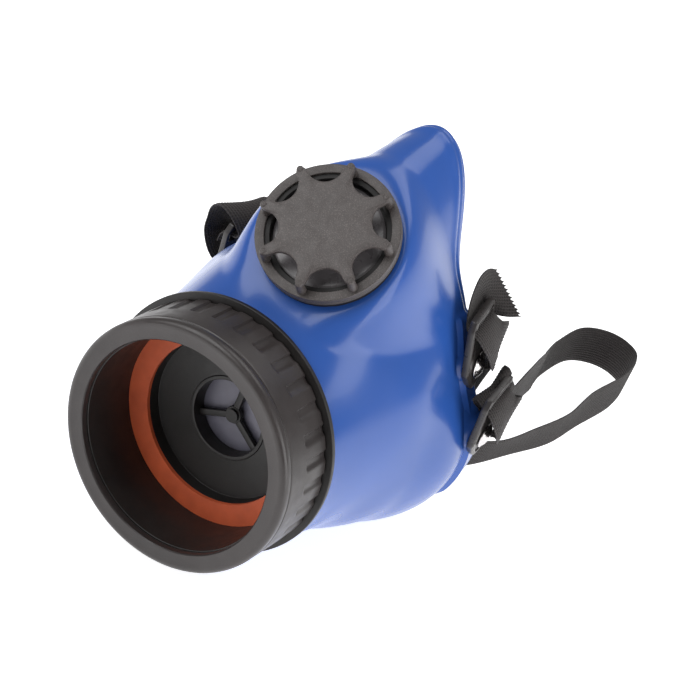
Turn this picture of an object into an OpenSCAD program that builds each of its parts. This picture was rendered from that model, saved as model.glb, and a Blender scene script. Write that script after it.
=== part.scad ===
// Half-mask respirator with one front cartridge socket.
// Origin: centre of the cartridge seat, where the gasket's front face lies.
// Axes: +Z up, -Y out of the cartridge socket, +X towards the wearer's left.

/* [Cartridge socket] */
// Radius of the bore that takes the cartridge
seat_r = 40; // [34:0.5:50]
// Depth of the bore, from its mouth to the gasket
seat_depth = 24.8; // [18:0.2:32]
// Wall of the holder's cup
cup_wall = 4.2; // [3:0.1:6]
// How far the holder's rear flange stands out past the cup
flange_out = 6.1; // [5.5:0.1:10]
// Thickness of the holder's rear flange
flange_t = 1.8; // [1.4:0.1:2.4]
// Thickness of the gasket
gasket_t = 1.6; // [1:0.1:2.4]
// Width of the gasket's flat face
gasket_w = 10.1; // [7:0.1:12]

/* [Retaining ring] */
// Wall of the ring's grip band
ring_wall = 3.7; // [3:0.1:6]
// Thickness of the ring's front lip
ring_lip_t = 3.2; // [2:0.1:5]
// Number of grip slots round the band
slot_count = 32; // [16:2:48]
// Width of one grip slot
slot_w = 3.2; // [2:0.1:5]
// Depth of one grip slot
slot_depth = 0.7; // [0.4:0.1:1.2]

/* [Inhalation port] */
// Radius of the port in the holder's floor
port_r = 15; // [12:0.5:18]
// Width of one spoke
spoke_w = 2.6; // [2:0.1:4]
// Radius of the pin that holds the flap
pin_r = 1.2; // [1:0.1:2]

/* [Exhalation valve] */
// Outer radius of the star cover's rim
valve_r = 26.6; // [22:0.2:32]
// Height of the cover's rim
valve_rim_h = 4.3; // [3:0.1:6]
// Height of the star plate's face above the rim
star_rise = 6.7; // [5:0.1:9]
// Thickness of the star plate
star_t = 1.7; // [1.2:0.1:3]
// Number of points on the star
star_points = 8; // [6:1:10]
// Tilt of the valve's axis above the horizontal
valve_tilt = 43.6; // [35:0.2:55]

/* [Facepiece] */
// Wall of the moulded facepiece
skin_t = 3; // [2:0.1:4]
// Width of the face opening, as a share of the usual size
face_width_share = 1; // [0.85:0.01:1.2]
// Height of the nose above the cheeks at the rim
nose_rise = 44; // [34:1:53]

/* [Buckles] */
// Width of one buckle
buckle_w = 25; // [23:0.5:30]
// Thickness of one buckle
buckle_t = 2.5; // [2:0.1:4]
// Radius of the rivet's domed head
rivet_head_r = 5.5; // [4:0.1:6.5]
// Radius of the rivet's shank
rivet_r = 2.5; // [1.5:0.1:3]
// Opening of the strap slot along the buckle
slot_open = 4.6; // [4:0.1:6]

/* [Straps] */
// Width of the elastic straps
strap_w = 20; // [15:0.5:21]
// Thickness of the elastic straps
strap_t = 1.3; // [0.8:0.1:1.6]

/* [Hidden] */

// Fits and gaps
run_gap = 0.05;     // radial gap of a running fit
rest_gap = 0.2;     // gap between faces that only lie together
body_gap = 0.3;     // gap between pieces that move past each other
through = 20;       // length of a cutter that goes right through
sink = 0.1;         // how far one shape goes into the next where they join

// Socket sizes that follow from the driving ones
cup_r = seat_r + cup_wall;
ring_r = cup_r + run_gap + ring_wall;
ring_front = seat_depth + rest_gap + ring_lip_t;
flange_r = cup_r + flange_out;
flange_front = 0.8;
flange_back = flange_front - flange_t;
gasket_r = seat_r + 1.7;
gasket_in_r = gasket_r - gasket_w;
ring_back = flange_front + 0.5;
ring_round = 2.6;
slot_share = 0.47;
slot_front = ring_back + (ring_front - ring_back) * slot_share;

// Neck, floor and nut inside the facepiece's front hole
neck_r = gasket_in_r + 4.4;
floor_front = -7.1;
floor_t = 2.4;
port_lip_w = 1.5;
port_lip_h = 0.5;
neck_back = -12.4;
tube_back = -13.5;
tube_wall = 2.4;
ledge_t = 1.8;
ledge_r = gasket_r + 2.4;
wall_front = -gasket_t - ledge_t - rest_gap;
wall_back = wall_front - skin_t;
nut_t = 3.6;
nut_wall = 6.5;
nut_notches = 6;
nut_notch_w = 6;
nut_notch_depth = 2;

// Flap and pin
flap_t = 1;
flap_r = port_r + tube_wall - 0.3;
flap_lift = 1.5;
flap_front = tube_back - 0.1;
hub_r = 3.4;
spoke_inset = 0.2;
spoke_front = -10.4;
spoke_back = -12.8;
pin_head_r = 2.6;
pin_head_t = 1.1;

// Exhalation valve: heights are along its axis from the top of the cover's rim
pad_h = -7;
seat_flange_top = -valve_rim_h - body_gap;
cover_in_r = valve_r - 3.5;
spigot_r = cover_in_r - run_gap;
spigot_wall = 1.7;
spigot_top = -1;
valve_neck_r = spigot_r - 5;
valve_neck_wall = 2.2;
valve_neck_bottom = pad_h - skin_t - 5;
clamp_t = 3;
clamp_wall = 6;
diaphragm_r = spigot_r - spigot_wall - 0.7;
diaphragm_t = 1;
diaphragm_bottom = seat_flange_top + 0.5;
lip_r = valve_neck_r - 0.4;
lip_w = 1.2;
lip_top = diaphragm_bottom - 0.1;
seat_flange_r = valve_r - 0.5;
stem_r = 1.6;
stem_head_t = 2;
stem_head_r = stem_r + 0.9;
stem_low = pad_h - 2.6;
valve_spoke_low = pad_h - 0.4;
valve_spoke_t = 1.9;
valve_hub_r = 4;
valve_spoke_w = 2.4;
post_r = 1.7;
tip_r = 2.1;
post_inset = 0.7;
post_sink = 0.5;
star_r = valve_r - 2;
window_r = 0.3 * star_r;
window_inset = 0.5;
cover_turn = 15.3;

// Facepiece: each row is a station from the front wall back to the rim.
// Angles run from the nose ridge down the side to the chin in steps of 30 degrees:
// [distances behind the seat], [radii beyond the front wall's radius], ridge rise, ridge spread
front_r = flange_r - 3.3;
front_y = rest_gap - flange_back;
stations = [
    [[0, 0, 0, 0, 0, 0, 0], [0, 0, 0, 0, 0, 0, 0], 0.5, 40],
    [[10, 10.8, 11.8, 12, 12, 12, 12], [3.5, 2.6, 1.8, 1.5, 2.3, 3, 3], 6, 36],
    [[27.8, 28.8, 30.8, 30.8, 30.8, 30.8, 29.8], [7, 6, 5, 5, 6.5, 6.5, 4.5], 22, 30],
    [[49.8, 50.8, 53.8, 55.8, 57.8, 57.8, 55.8], [10, 10, 9.3, 10, 14.5, 12.5, 7], 37, 22],
    [[70.8, 71.8, 74.8, 79.8, 81.8, 78.8, 73.8], [13, 15, 8.8, 14.6, 20.5, 17, 8], 42, 18],
    [[87.5, 87.8, 92.7, 101.2, 104.2, 96.2, 88.2], [15, 16, 6.6, 11, 18, 15.5, 6.5], 44.5, 16]
];
skin_sides = 48;
nose_crowding = 0.5;
usual_nose_rise = 44;
skin_steps = 15;
step_deg = 30;

// Exhalation valve's place on the ridge
valve_centre = [0, 25.85, 31.5 + front_r];
valve_axis = [0, -cos(valve_tilt), sin(valve_tilt)];
pad_flat = valve_r + 0.6;
pad_fade = 15;

// Buckles: local X leaves the cheek, local Y runs along the slot, local Z points to the slot
upper_rivet = [51.3 + front_r - 47, 93.2, 28.6];
upper_turn = [7, -13, 10];
lower_rivet = [64.6 + front_r - 47, 98.5, 0.8];
lower_turn = [10, -1, 7.5];
buckle_nose = 10;
buckle_top = 25;
slot_low = 17;
slot_side = 2;
boss_r = 8.5;
boss_depth = 7;
rivet_head_h = 2.4;
washer_t = 1;
washer_r = 5;
rivet_tail = 0.6;
buckle_nose_w = 7;
buckle_low = 1;
buckle_chamfer = [2.5, 4];
swivel_gap = 0.3;

// Strap routes: each row is a point and the way the strap's width runs there.
// Ends are in their buckle's own axes; the runs behind the mask are in the mask's axes.
upper_end_left_route = [
    [[-1, 12.5, 34.5], [0.1, 0.78, -0.62]], [[-3.4, 8, 31], [0.05, 0.85, -0.5]],
    [[-4.4, 4, 28], [0, 0.93, -0.35]], [[-4.3, 1.5, 24.8], [0, 1, -0.1]], [[-3.8, 0, 20.9], [0, 1, 0]],
    [[-1.2, 0, 19.7], [0, 1, 0]], [[1.6, 0, 19.2], [0, 1, 0]], [[4.2, 0.4, 16.3], [0, 1, 0]],
    [[5.5, 1.4, 12], [0, 1, 0]], [[6, 2.8, 6], [0, 1, 0]], [[5.2, 4.8, 0], [0, 1, 0.1]]
];
upper_end_right_route = [
    [[-4.4, 0.6, 24.4], [0, 1, 0]], [[-3.8, 0, 20.9], [0, 1, 0]], [[-1.2, 0, 19.7], [0, 1, 0]],
    [[1.6, 0, 19.2], [0, 1, 0]], [[3.8, 0, 16.5], [0, 1, 0]], [[4.6, 0, 12], [0, 1, 0]],
    [[4.6, 0, 8], [0, 1, 0]]
];
lower_end_left_route = [
    [[-4.4, 0.6, 24.4], [0, 1, 0]], [[-3.8, 0, 20.9], [0, 1, 0]], [[-1.2, 0, 19.7], [0, 1, 0]],
    [[1.6, 0, 19.2], [0, 1, 0]], [[4.2, 0.3, 16.5], [0, 1, 0]], [[5.6, 1, 12], [0, 1, 0]],
    [[6.2, 2, 6], [0, 1, 0]], [[5.4, 3.5, -1], [0, 1, 0]], [[4, 4.3, -5], [0, 1, 0]]
];
lower_end_right_route = [
    [[2.3, 6.4, -11.1], [0, 1, 0]], [[4.4, 2.8, 1.5], [0, 1, 0]], [[7.6, -1, 7.5], [0, 1, 0]],
    [[10.5, -1.7, 14.5], [0, 1, 0]], [[8.9, -1.3, 21], [-0.25, 0.96, 0.03]],
    [[6, -2.2, 27], [-0.45, 0.88, 0.05]], [[2.1, -2.5, 30.3], [-0.57, 0.82, 0.05]],
    [[-3.8, -1.6, 29.6], [-0.5, 0.85, 0]], [[-7.4, -0.5, 25.2], [-0.2, 0.97, 0]],
    [[-5.5, 0, 21], [0, 1, 0]], [[-1.2, 0, 19.6], [0, 1, 0]], [[2.6, 0, 18.2], [0, 1, 0]],
    [[4.2, 0.5, 13], [0, 1, 0]]
];
upper_strap_route = [
    [[48.5, 109, 20], [0.1, 0.8, 0.5]], [[48, 116, 8], [0, 0.5, 0.85]],
    [[45, 121, -4], [0, 0.2, 1]], [[36, 125, -13], [0, 0, 1]],
    [[12, 128, -17], [0, 0, 1]], [[-14, 128, -16], [0, 0, 1]], [[-34, 124, -9], [0, 0, 1]],
    [[-42, 118, 4], [0, 0.3, 0.9]], [[-42.5, 114, 15], [0, 0.6, 0.8]], [[-41.5, 110, 23], [0, 0.7, 0.7]]
];
lower_strap_route = [
    [[59, 124, 0], [0, 0, 1]], [[57, 144, 0], [0, 0, 1]], [[51.5, 172, -8], [0, 0, 1]],
    [[45, 202, -20], [0, 0, 1]], [[37, 232, -35], [0, 0, 1]], [[32, 258, -42], [0, 0, 1]],
    [[33, 282, -42], [0, 0, 1]], [[41, 294, -42], [0, 0, 1]], [[52, 297, -42], [0, 0, 1]],
    [[62, 290, -42], [0, 0, 1]], [[66, 268, -42], [0, 0, 1]], [[64, 236, -42], [0, 0, 1]],
    [[64, 208, -42], [0.15, 0, 1]], [[59, 182, -42], [0.3, 0, 1]], [[52, 154, -42], [0.4, 0, 1]],
    [[38, 136, -42], [0.2, 0, 1]], [[10, 128, -42], [0, 0, 1]], [[-24, 127, -42], [0, 0, 1]],
    [[-46, 125, -37], [0, 0.2, 1]], [[-58, 119, -28], [0, 0.6, 0.8]], [[-63, 114, -20], [0, 0.8, 0.6]]
];
strap_parts = 2;

// Small maths
function fit(v) = v / norm(v);
function spline(p0, p1, p2, p3, f) =
    0.5 * (2 * p1 + (p2 - p0) * f + (2 * p0 - 5 * p1 + 4 * p2 - p3) * f * f
    + (3 * p1 - p0 - 3 * p2 + p3) * f * f * f);
function pick(list, i) = list[max(0, min(len(list) - 1, i))];
function along(list, u) =
    let (i = min(floor(u), len(list) - 2), f = u - i)
    spline(pick(list, i - 1), pick(list, i), pick(list, i + 1), pick(list, i + 2), f);
function fade(a) = let (c = max(0, min(1, a))) c * c * (3 - 2 * c);
function add(v, i = 0) = i < len(v) ? v[i] + add(v, i + 1) : 0;

// Even wave: the sum of cosines that passes through the values at every 30 degrees
function wave_part(v, k) =
    let (n = len(v) - 1, end = (k == 0 || k == n) ? 0.5 : 1)
    end / n * (v[0] + v[n] * cos(180 * k) + 2 * add([for (j = [1:n - 1]) v[j] * cos(step_deg * j * k)]));
function wave_parts(v) = [for (k = [0:len(v) - 1]) wave_part(v, k)];
function wave(parts, a) = add([for (k = [0:len(parts) - 1]) parts[k] * cos(k * a)]);

// Station values at u, from 0 at the front wall to 5 at the rim
station_backs = [for (s = stations) s[0]];
station_radii = [for (s = stations) s[1]];
station_rises = [for (s = stations) s[2]];
station_spreads = [for (s = stations) s[3]];

// A point is moved onto the valve's flat pad where it is near the valve's axis
function padded(p, inset) =
    let (d = p - valve_centre, h = d * valve_axis, away = norm(d - h * valve_axis),
        share = fade((pad_flat + pad_fade - away) / pad_fade))
    p + valve_axis * share * (pad_h - inset - h);

// Angle of side i: the sides are closer together at the nose than at the chin
function skin_angle(i) =
    let (even = i * 360 / skin_sides) even - nose_crowding * 180 / PI * sin(even);

function skin_ring(u, inset) =
    let (backs = wave_parts(along(station_backs, u)), radii = wave_parts(along(station_radii, u)),
        rise = along(station_rises, u) * nose_rise / usual_nose_rise, spread = along(station_spreads, u),
        widen = 1 + (face_width_share - 1) * fade(u / 3))
    [for (i = [0:skin_sides - 1])
        let (a = skin_angle(i), side = min(a, 360 - a),
            r = front_r + wave(radii, a) + rise * exp(-pow(side / spread, 2)) - inset,
            y = front_y + wave(backs, a) + inset * (1 - fade(u)))
        padded([r * sin(a) * widen, y, r * cos(a)], inset)];

function flat_ring(r, y) =
    [for (i = [0:skin_sides - 1]) [r * sin(skin_angle(i)), y, r * cos(skin_angle(i))]];

// Closed tube of rings: each ring joins the next and the last joins the first
module ring_tube(rings) {
    n = len(rings[0]);
    m = len(rings);
    points = [for (ring = rings) for (p = ring) p];
    faces = [for (j = [0:m - 1]) for (i = [0:n - 1]) for (half = [0, 1])
        let (a = j * n + i, b = j * n + (i + 1) % n,
            c = ((j + 1) % m) * n + i, d = ((j + 1) % m) * n + (i + 1) % n)
        half == 0 ? [a, c, b] : [b, c, d]];
    polyhedron(points, faces, convexity = 10);
}

// Flat band with square edges that follows a route
module band(route) {
    spots = [for (row = route) row[0]];
    ways = [for (row = route) row[1]];
    count = (len(route) - 1) * strap_parts;
    at = [for (k = [0:count]) k / strap_parts];
    centres = [for (u = at) along(spots, u)];
    corners = [for (k = [0:count])
        let (run = fit(centres[min(count, k + 1)] - centres[max(0, k - 1)]),
            way = along(ways, at[k]),
            across = fit(way - (way * run) * run) * strap_w / 2,
            out = cross(run, fit(across)) * strap_t / 2)
        for (s = [-across - out, across - out, across + out, out - across]) centres[k] + s];
    sides = [for (k = [0:count - 1]) for (i = [0:3]) for (half = [0, 1])
        let (a = 4 * k + i, b = 4 * k + (i + 1) % 4, c = a + 4, d = b + 4)
        half == 0 ? [a, b, c] : [b, d, c]];
    last = 4 * count;
    caps = [[2, 1, 0], [3, 2, 0], [last, last + 1, last + 2], [last, last + 2, last + 3]];
    polyhedron(corners, concat(sides, caps), convexity = 10);
}

// Places
module at_port() rotate([90, 0, 0]) children();
module at_valve() translate(valve_centre) rotate([90 - valve_tilt, 0, 0]) children();
module at_buckle(spot, turn) translate(spot) rotate([0, 0, turn[2]]) rotate([0, turn[1], 0])
    rotate([turn[0], 0, 0]) children();
module upper_left() at_buckle(upper_rivet, upper_turn) children();
module lower_left() at_buckle(lower_rivet, lower_turn) children();
module upper_right() mirror([1, 0, 0]) upper_left() children();
module lower_right() mirror([1, 0, 0]) lower_left() children();
module each_buckle() {
    upper_left() children();
    upper_right() children();
    lower_left() children();
    lower_right() children();
}
module tube(out_r, in_r, low, high, n = 96) {
    translate([0, 0, low]) difference() {
        cylinder(r = out_r, h = high - low, $fn = n);
        translate([0, 0, -1]) cylinder(r = in_r, h = high - low + 2, $fn = n);
    }
}
module outward(r, low, high, n = 48) {
    translate([low, 0, 0]) rotate([0, 90, 0]) cylinder(r = r, h = high - low, $fn = n);
}

module facepiece() {
    outer = [for (k = [0:skin_steps]) skin_ring(k * 5 / skin_steps, 0)];
    inner = [for (k = [skin_steps:-1:2]) skin_ring(k * 5 / skin_steps, skin_t)];
    hole_r = neck_r + rest_gap;
    step_r = ledge_r + rest_gap;
    color("royalblue") difference() {
        union() {
            ring_tube(concat([flat_ring(hole_r, -wall_front), flat_ring(step_r, -wall_front),
                flat_ring(step_r, front_y)], outer, inner,
                [flat_ring(front_r - skin_t, -wall_back), flat_ring(hole_r, -wall_back)]));
            each_buckle() outward(boss_r, -buckle_t - body_gap - boss_depth, -buckle_t - body_gap);
        }
        at_valve() translate([0, 0, valve_neck_bottom])
            cylinder(r = valve_neck_r + run_gap, h = through, $fn = 96);
        each_buckle() outward(rivet_r, -buckle_t - body_gap - boss_depth - 5, 0);
    }
}

module filter_holder() {
    color("dimgray") at_port() difference() {
        union() {
            tube(cup_r, seat_r, 0, seat_depth, 160);
            translate([0, 0, flange_back]) cylinder(r = flange_r, h = flange_t, $fn = 160);
            translate([0, 0, -gasket_t - ledge_t])
                cylinder(r = ledge_r, h = gasket_t + ledge_t + flange_back + sink, $fn = 160);
            translate([0, 0, neck_back]) cylinder(r = neck_r, h = -gasket_t - neck_back, $fn = 120);
            tube(port_r + tube_wall, port_r, tube_back, neck_back + 1);
        }
        translate([0, 0, -gasket_t]) cylinder(r = gasket_r + 0.1, h = gasket_t, $fn = 160);
        translate([0, 0, -0.01]) cylinder(r = seat_r, h = seat_depth, $fn = 160);
        translate([0, 0, floor_front]) cylinder(r = gasket_in_r, h = 10, $fn = 120);
        translate([0, 0, neck_back - 1])
            difference() {
                cylinder(r = gasket_in_r, h = floor_front - floor_t - neck_back + 1, $fn = 120);
                cylinder(r = port_r + tube_wall, h = through, $fn = 96);
            }
        translate([0, 0, tube_back - 1]) cylinder(r = port_r, h = through, $fn = 96);
    }
    color("dimgray") at_port() {
        tube(port_r + port_lip_w, port_r, floor_front - sink, floor_front + port_lip_h);
        for (a = [90, 210, 330]) rotate([0, 0, a])
            translate([hub_r - 1, -spoke_w / 2, spoke_back + spoke_inset])
                cube([port_r + 2 - hub_r, spoke_w, spoke_front - spoke_back - 2 * spoke_inset]);
        tube(hub_r, pin_r, spoke_back, spoke_front, 48);
    }
}

module holder_nut() {
    color("dimgray") at_port() difference() {
        tube(neck_r + nut_wall, neck_r + run_gap, wall_back - rest_gap - nut_t, wall_back - rest_gap, 120);
        for (i = [0:nut_notches - 1]) rotate([0, 0, i * 360 / nut_notches])
            translate([neck_r + nut_wall - nut_notch_depth, -nut_notch_w / 2,
                wall_back - rest_gap - nut_t - 1])
                cube([nut_notch_depth + 1, nut_notch_w, nut_t + 2]);
    }
}

module cartridge_gasket() {
    color("orangered") at_port() tube(gasket_r, gasket_in_r, -gasket_t, 0, 160);
}

module retaining_ring() {
    in_r = cup_r + run_gap;
    color("black") at_port() difference() {
        rotate_extrude($fn = 160) polygon(concat(
            [[seat_r + 0.4, ring_front], [seat_r + 0.4, ring_front - ring_lip_t],
                [in_r, ring_front - ring_lip_t], [in_r, ring_back], [ring_r, ring_back]],
            [for (a = [0:15:75]) [ring_r - ring_round + ring_round * cos(a),
                ring_front - ring_round + ring_round * sin(a)]],
            [[ring_r - ring_round, ring_front]]));
        for (i = [0:slot_count - 1]) rotate([0, 0, i * 360 / slot_count])
            translate([ring_r - slot_depth, -slot_w / 2, ring_back - 1])
                cube([slot_depth + 1, slot_w, slot_front - ring_back + 1]);
    }
}

module inhalation_flap() {
    color("slategray") at_port() tube(flap_r, pin_r + run_gap, flap_front - flap_t, flap_front);
}

module inhalation_pin() {
    pin_back = flap_front - flap_t - flap_lift - body_gap;
    color("slategray") at_port() {
        translate([0, 0, spoke_front + 0.02]) cylinder(r = pin_head_r, h = pin_head_t, $fn = 48);
        translate([0, 0, pin_back]) cylinder(r = pin_r, h = spoke_front + sink - pin_back, $fn = 32);
        translate([0, 0, pin_back - pin_head_t]) cylinder(r = pin_head_r, h = pin_head_t + 0.01, $fn = 48);
    }
}

module exhalation_seat() {
    color("dimgray") at_valve() {
        rotate_extrude($fn = 96) polygon([
            [valve_neck_r - valve_neck_wall, valve_neck_bottom], [valve_neck_r, valve_neck_bottom],
            [valve_neck_r, pad_h], [seat_flange_r, pad_h], [seat_flange_r, seat_flange_top],
            [spigot_r, seat_flange_top], [spigot_r, spigot_top],
            [spigot_r - spigot_wall, spigot_top], [spigot_r - spigot_wall, seat_flange_top],
            [lip_r, seat_flange_top], [lip_r, lip_top], [lip_r - lip_w, lip_top],
            [lip_r - lip_w, seat_flange_top], [valve_neck_r - valve_neck_wall, seat_flange_top]]);
        for (a = [0, 120, 240]) rotate([0, 0, a])
            translate([valve_hub_r - 1, -valve_spoke_w / 2, valve_spoke_low + spoke_inset])
                cube([valve_neck_r - valve_neck_wall / 2 - valve_hub_r + 1, valve_spoke_w,
                    valve_spoke_t - 2 * spoke_inset]);
        tube(valve_hub_r, stem_r + run_gap, valve_spoke_low, valve_spoke_low + valve_spoke_t, 48);
    }
}

module exhalation_clamp_ring() {
    top = pad_h - skin_t - rest_gap;
    color("dimgray") at_valve() tube(valve_neck_r + clamp_wall, valve_neck_r + run_gap, top - clamp_t, top);
}

module exhalation_diaphragm() {
    color("gray") at_valve() {
        translate([0, 0, diaphragm_bottom]) cylinder(r = diaphragm_r, h = diaphragm_t, $fn = 96);
        translate([0, 0, stem_low]) cylinder(r = stem_r, h = diaphragm_bottom - stem_low + sink, $fn = 32);
        translate([0, 0, stem_low - stem_head_t + sink]) cylinder(r = stem_head_r, h = stem_head_t, $fn = 32);
    }
}

module exhalation_cover() {
    color("black") at_valve() rotate([0, 0, cover_turn]) {
        tube(valve_r, cover_in_r, -valve_rim_h, 0, 120);
        translate([0, 0, star_rise - star_t]) linear_extrude(star_t) {
            difference() {
                circle(r = star_r - tip_r, $fn = 120);
                for (i = [0:star_points - 1]) rotate((i + 0.5) * 360 / star_points)
                    translate([star_r - window_inset, 0]) circle(r = window_r, $fn = 48);
            }
            for (i = [0:star_points - 1]) rotate(i * 360 / star_points)
                translate([star_r - tip_r, 0]) circle(r = tip_r, $fn = 32);
        }
        for (i = [0:star_points - 1]) rotate([0, 0, i * 360 / star_points])
            translate([star_r - post_inset, 0, -post_sink]) cylinder(r = post_r, h = star_rise, $fn = 32);
    }
}

// The plate is drawn in the buckle's own Y and Z and given its thickness along -X
module buckle() {
    half = buckle_w / 2;
    color("dimgray") difference() {
        rotate([90, 0, 90]) translate([0, 0, -buckle_t]) linear_extrude(buckle_t) difference() {
            polygon([[-buckle_nose_w / 2, -buckle_nose], [buckle_nose_w / 2, -buckle_nose],
                [half, buckle_low], [half, buckle_top - buckle_chamfer[1]],
                [half - buckle_chamfer[0], buckle_top], [buckle_chamfer[0] - half, buckle_top],
                [-half, buckle_top - buckle_chamfer[1]], [-half, buckle_low]]);
            translate([slot_side - half, slot_low]) square([buckle_w - 2 * slot_side, slot_open]);
        }
        outward(rivet_r + run_gap, -buckle_t - 1, 1, 48);
    }
}
module buckle_upper_left() upper_left() buckle();
module buckle_upper_right() upper_right() buckle();
module buckle_lower_left() lower_left() buckle();
module buckle_lower_right() lower_right() buckle();

// Domed head, shank, and nothing else: the washer behind is its own piece
module rivet() {
    head_curve = (rivet_head_r * rivet_head_r + rivet_head_h * rivet_head_h) / (2 * rivet_head_h);
    color("gainsboro") {
        rotate([0, 90, 0]) translate([0, 0, swivel_gap]) intersection() {
            translate([0, 0, rivet_head_h - head_curve]) sphere(r = head_curve, $fn = 64);
            cylinder(r = rivet_head_r, h = rivet_head_h, $fn = 64);
        }
        outward(rivet_r, -buckle_t - body_gap - boss_depth - washer_t - rivet_tail, swivel_gap + sink);
    }
}
module rivet_upper_left() upper_left() rivet();
module rivet_upper_right() upper_right() rivet();
module rivet_lower_left() lower_left() rivet();
module rivet_lower_right() lower_right() rivet();

module rivet_washers() {
    back = -buckle_t - body_gap - boss_depth;
    color("silver") each_buckle() difference() {
        outward(washer_r, back - washer_t, back);
        outward(rivet_r, back - washer_t - 1, back + 1);
    }
}

module upper_strap() color("black") band(upper_strap_route);
module lower_strap() color("black") band(lower_strap_route);
module upper_strap_end_left() color("black") upper_left() band(upper_end_left_route);
module upper_strap_end_right() color("black") upper_right() band(upper_end_right_route);
module lower_strap_end_left() color("black") lower_left() band(lower_end_left_route);
module lower_strap_end_right() color("black") lower_right() band(lower_end_right_route);

facepiece();
filter_holder();
holder_nut();
cartridge_gasket();
retaining_ring();
inhalation_flap();
inhalation_pin();
exhalation_seat();
exhalation_clamp_ring();
exhalation_diaphragm();
exhalation_cover();
buckle_upper_left();
buckle_upper_right();
buckle_lower_left();
buckle_lower_right();
rivet_upper_left();
rivet_upper_right();
rivet_lower_left();
rivet_lower_right();
rivet_washers();
upper_strap();
upper_strap_end_left();
upper_strap_end_right();
lower_strap();
lower_strap_end_left();
lower_strap_end_right();
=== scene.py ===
import math
import bpy
import bmesh
import numpy as np
from mathutils import Matrix, Vector


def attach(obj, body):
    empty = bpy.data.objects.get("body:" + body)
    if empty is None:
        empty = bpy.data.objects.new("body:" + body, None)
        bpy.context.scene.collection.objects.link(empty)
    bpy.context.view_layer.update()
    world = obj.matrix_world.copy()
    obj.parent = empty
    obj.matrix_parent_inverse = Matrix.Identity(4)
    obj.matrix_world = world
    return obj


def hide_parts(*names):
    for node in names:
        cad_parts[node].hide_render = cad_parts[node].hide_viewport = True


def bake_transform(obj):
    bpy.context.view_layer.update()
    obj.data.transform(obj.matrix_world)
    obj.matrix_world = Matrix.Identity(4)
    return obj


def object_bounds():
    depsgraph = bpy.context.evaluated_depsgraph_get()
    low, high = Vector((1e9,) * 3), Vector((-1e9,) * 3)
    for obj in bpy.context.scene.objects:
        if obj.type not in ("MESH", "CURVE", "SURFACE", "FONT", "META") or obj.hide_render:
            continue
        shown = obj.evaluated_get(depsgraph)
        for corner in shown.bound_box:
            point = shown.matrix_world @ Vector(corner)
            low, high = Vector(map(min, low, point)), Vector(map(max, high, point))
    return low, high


# Half-mask respirator: lengths are in millimetres unless a note says metres, and meshes are scaled to metres
# when they are made
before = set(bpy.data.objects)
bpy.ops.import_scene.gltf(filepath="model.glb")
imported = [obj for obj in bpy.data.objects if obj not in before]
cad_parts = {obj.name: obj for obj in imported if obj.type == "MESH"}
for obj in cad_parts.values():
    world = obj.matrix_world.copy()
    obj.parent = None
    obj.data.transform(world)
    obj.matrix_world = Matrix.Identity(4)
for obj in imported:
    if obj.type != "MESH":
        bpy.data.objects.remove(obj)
cadLow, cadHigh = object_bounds()
print("frame loaded")

# Camera: place in mm, the way back from the object, roll in degrees, lens in mm
cameraLook = dict(place=(249.2, -558.6, 407.9), back=(0.308, -0.807, 0.504), roll=23.85, lens=102.9)
camera = bpy.data.objects.new("camera", bpy.data.cameras.new("camera"))
bpy.context.scene.collection.objects.link(camera)
camera.data.lens = cameraLook["lens"]
camera.data.clip_start = 0.01
camera.matrix_world = (Matrix.Translation(Vector(cameraLook["place"]) / 1000)
                       @ Vector(cameraLook["back"]).to_track_quat("Z", "Y").to_matrix().to_4x4()
                       @ Matrix.Rotation(math.radians(cameraLook["roll"]), 4, "Z"))
bpy.context.scene.camera = camera
bpy.context.scene.view_settings.view_transform = "Standard"


grainDepth = 0.0002  # in metres


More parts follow.
